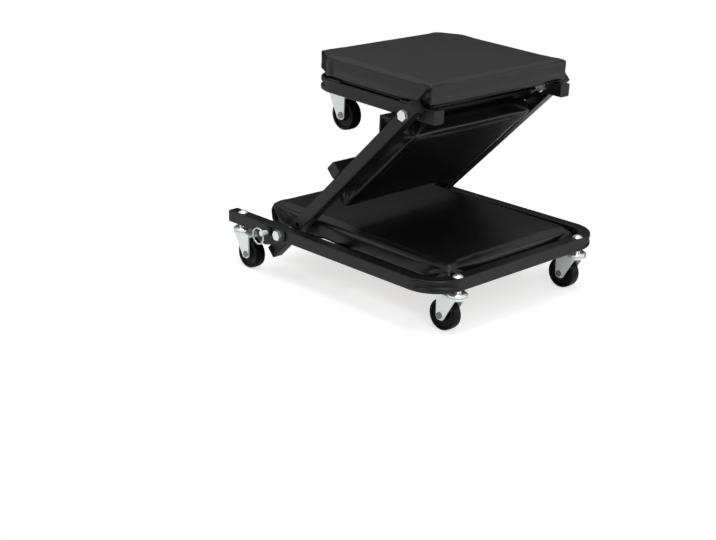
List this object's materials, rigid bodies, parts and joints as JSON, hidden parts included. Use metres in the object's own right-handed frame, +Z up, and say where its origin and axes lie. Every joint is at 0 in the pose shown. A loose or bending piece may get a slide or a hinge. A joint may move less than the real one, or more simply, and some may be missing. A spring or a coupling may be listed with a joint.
{
  "type": "folding workshop stool",
  "caption": "Low rolling workshop stool of square tube whose padded base, back panel and seat are hinged so that it opens out flat into a creeper on swivel casters.",
  "frame": {"origin": "on the floor under the middle of the stool's length and width", "axes": "+X towards the foot bar of the base, +Y to the left of someone who sits facing +X, +Z up"},
  "size_m": [0.525, 0.4636, 0.4025],
  "materials": {
    "frame_paint": "satin black powder coat",
    "pad_vinyl": "soft black vinyl, low sheen",
    "zinc_steel": "bright zinc plate",
    "ring_chrome": "bright nickel plate",
    "wheel_polymer": "moulded black",
    "plug_plastic": "moulded black",
    "plywood": "bare plywood"
  },
  "bodies": {
    "base": {"base_frame": "frame_paint", "base_plugs": "plug_plastic", "hinge_plate_left": "frame_paint", "hinge_plate_right": "frame_paint", "pin_guides": "frame_paint", "base_board": "plywood", "base_pad": "pad_vinyl", "base_pad_screws": "zinc_steel", "base_straps": "frame_paint", "lower_hinge_bolts": "zinc_steel", "lower_hinge_nuts": "zinc_steel", "lower_hinge_washers": "zinc_steel", "base_king_bolts": "zinc_steel", "base_caster_races": "zinc_steel"},
    "mid": {"mid_rail_left": "frame_paint", "mid_rail_right": "frame_paint", "fold_stop_left": "frame_paint", "fold_stop_right": "frame_paint", "seat_stop": "frame_paint", "mid_cross_tube": "frame_paint", "mid_plugs": "plug_plastic", "mid_board": "plywood", "mid_pad": "pad_vinyl", "mid_pad_screws": "zinc_steel", "mid_straps": "frame_paint", "upper_hinge_bolts": "zinc_steel", "upper_hinge_nuts": "zinc_steel", "upper_hinge_washers": "zinc_steel"},
    "head": {"head_frame": "frame_paint", "head_plugs": "plug_plastic", "seat_board": "plywood", "seat_pad": "pad_vinyl", "seat_pad_screws": "zinc_steel", "seat_straps": "frame_paint", "head_king_bolts": "zinc_steel", "head_caster_races": "zinc_steel"},
    "pin_left": {"pull_pin_left": "zinc_steel"},
    "ring_left": {"pull_ring_left": "ring_chrome"},
    "pin_right": {"pull_pin_right": "zinc_steel"},
    "ring_right": {"pull_ring_right": "ring_chrome"},
    "fork_front_left": {"caster_fork_front_left": "zinc_steel", "caster_axle_front_left": "zinc_steel"},
    "wheel_front_left": {"caster_wheel_front_left": "wheel_polymer"},
    "fork_front_right": {"caster_fork_front_right": "zinc_steel", "caster_axle_front_right": "zinc_steel"},
    "wheel_front_right": {"caster_wheel_front_right": "wheel_polymer"},
    "fork_rear_left": {"caster_fork_rear_left": "zinc_steel", "caster_axle_rear_left": "zinc_steel"},
    "wheel_rear_left": {"caster_wheel_rear_left": "wheel_polymer"},
    "fork_rear_right": {"caster_fork_rear_right": "zinc_steel", "caster_axle_rear_right": "zinc_steel"},
    "wheel_rear_right": {"caster_wheel_rear_right": "wheel_polymer"},
    "fork_head_left": {"caster_fork_head_left": "zinc_steel", "caster_axle_head_left": "zinc_steel"},
    "wheel_head_left": {"caster_wheel_head_left": "wheel_polymer"},
    "fork_head_right": {"caster_fork_head_right": "zinc_steel", "caster_axle_head_right": "zinc_steel"},
    "wheel_head_right": {"caster_wheel_head_right": "wheel_polymer"}
  },
  "joints": [
    {"name": "fold", "type": "hinge", "parent": "base", "child": "mid", "pos_m": [-0.1195, 0, 0.086], "axis": [0, -1, 0], "range_deg": [0, 136.4]},
    {"name": "seat_fold", "type": "hinge", "parent": "mid", "child": "head", "pos_m": [0.15279, 0, 0.3453], "axis": [0, 1, 0], "range_deg": [0, 134.2]},
    {"name": "pin_slide_left", "type": "slide", "parent": "base", "child": "pin_left", "axis": [0, 1, 0], "range_m": [-0.0055, 0.006]},
    {"name": "ring_swing_left", "type": "hinge", "parent": "pin_left", "child": "ring_left", "pos_m": [-0.1455, 0.2283, 0.086], "axis": [0.5592, 0, -0.829], "range_deg": [0, 90]},
    {"name": "pin_slide_right", "type": "slide", "parent": "base", "child": "pin_right", "axis": [0, -1, 0], "range_m": [-0.0055, 0.006]},
    {"name": "ring_swing_right", "type": "hinge", "parent": "pin_right", "child": "ring_right", "pos_m": [-0.1455, -0.2283, 0.086], "axis": [-0.5592, 0, 0.829], "range_deg": [0, 90]},
    {"name": "swivel_front_left", "type": "hinge", "parent": "base", "child": "fork_front_left", "pos_m": [0.2455, 0.15, 0.075], "axis": [0, 0, 1], "continuous": true},
    {"name": "roll_front_left", "type": "hinge", "parent": "fork_front_left", "child": "wheel_front_left", "pos_m": [0.221, 0.15, 0.027], "axis": [0, 1, 0], "continuous": true},
    {"name": "swivel_front_right", "type": "hinge", "parent": "base", "child": "fork_front_right", "pos_m": [0.2455, -0.15, 0.075], "axis": [0, 0, 1], "continuous": true},
    {"name": "roll_front_right", "type": "hinge", "parent": "fork_front_right", "child": "wheel_front_right", "pos_m": [0.221, -0.15, 0.027], "axis": [0, 1, 0], "continuous": true},
    {"name": "swivel_rear_left", "type": "hinge", "parent": "base", "child": "fork_rear_left", "pos_m": [-0.2355, 0.2, 0.075], "axis": [0, 0, 1], "continuous": true},
    {"name": "roll_rear_left", "type": "hinge", "parent": "fork_rear_left", "child": "wheel_rear_left", "pos_m": [-0.211, 0.2, 0.027], "axis": [0, 1, 0], "continuous": true},
    {"name": "swivel_rear_right", "type": "hinge", "parent": "base", "child": "fork_rear_right", "pos_m": [-0.2355, -0.2, 0.075], "axis": [0, 0, 1], "continuous": true},
    {"name": "roll_rear_right", "type": "hinge", "parent": "fork_rear_right", "child": "wheel_rear_right", "pos_m": [-0.211, -0.2, 0.027], "axis": [0, 1, 0], "continuous": true},
    {"name": "swivel_head_left", "type": "hinge", "parent": "head", "child": "fork_head_left", "pos_m": [-0.08746, 0.107, 0.34352], "axis": [0.0384, 0, 0.9993], "continuous": true},
    {"name": "roll_head_left", "type": "hinge", "parent": "fork_head_left", "child": "wheel_head_left", "pos_m": [-0.06482, 0.107, 0.29461], "axis": [0, 1, 0], "continuous": true},
    {"name": "swivel_head_right", "type": "hinge", "parent": "head", "child": "fork_head_right", "pos_m": [-0.08746, -0.107, 0.34352], "axis": [0.0384, 0, 0.9993], "continuous": true},
    {"name": "roll_head_right", "type": "hinge", "parent": "fork_head_right", "child": "wheel_head_right", "pos_m": [-0.06482, -0.107, 0.29461], "axis": [0, 1, 0], "continuous": true}
  ],
  "couplings": [
    {"joint": "seat_fold", "follows": "fold", "ratio": 0.98387}
  ]
}
